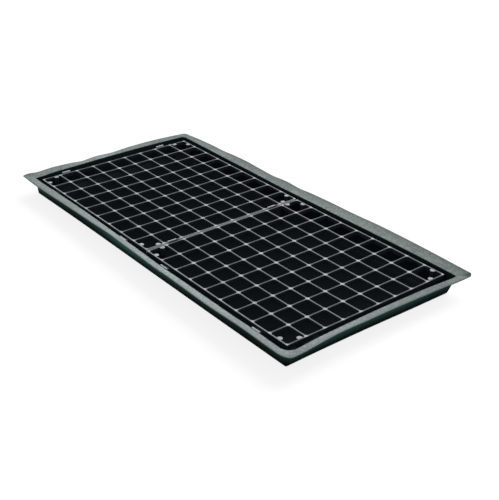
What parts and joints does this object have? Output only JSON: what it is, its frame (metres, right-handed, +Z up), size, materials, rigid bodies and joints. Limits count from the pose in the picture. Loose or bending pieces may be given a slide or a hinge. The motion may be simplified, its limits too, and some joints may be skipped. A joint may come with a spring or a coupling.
{
  "type": "humidity tray",
  "caption": "Shallow rectangular plastic tray with a flared rim, holding two grid panels on short legs that hook together and lift out.",
  "frame": {"origin": "middle of the tray's flat resting face", "axes": "+X along the tray, from the panel that lifts first towards the other one; +Y across the tray to the side without bars; +Z up"},
  "size_m": [0.5588, 0.2792, 0.027],
  "materials": {
    "tray_plastic": "formed sheet, fine grain, dark green-black",
    "panel_plastic": "moulded, satin, dark grey"
  },
  "bodies": {
    "tray": {"tray": "tray_plastic"},
    "right_panel": {"grid_panel_right": "panel_plastic", "legs_right": "panel_plastic"},
    "left_panel": {"grid_panel_left": "panel_plastic", "legs_left": "panel_plastic"}
  },
  "joints": [
    {"name": "right_panel_lift", "type": "slide", "parent": "tray", "child": "right_panel", "axis": [0, 0, 1], "range_m": [0, 0.06]},
    {"name": "left_panel_lift", "type": "slide", "parent": "right_panel", "child": "left_panel", "axis": [0, 0, 1], "range_m": [0, 0.06]}
  ]
}
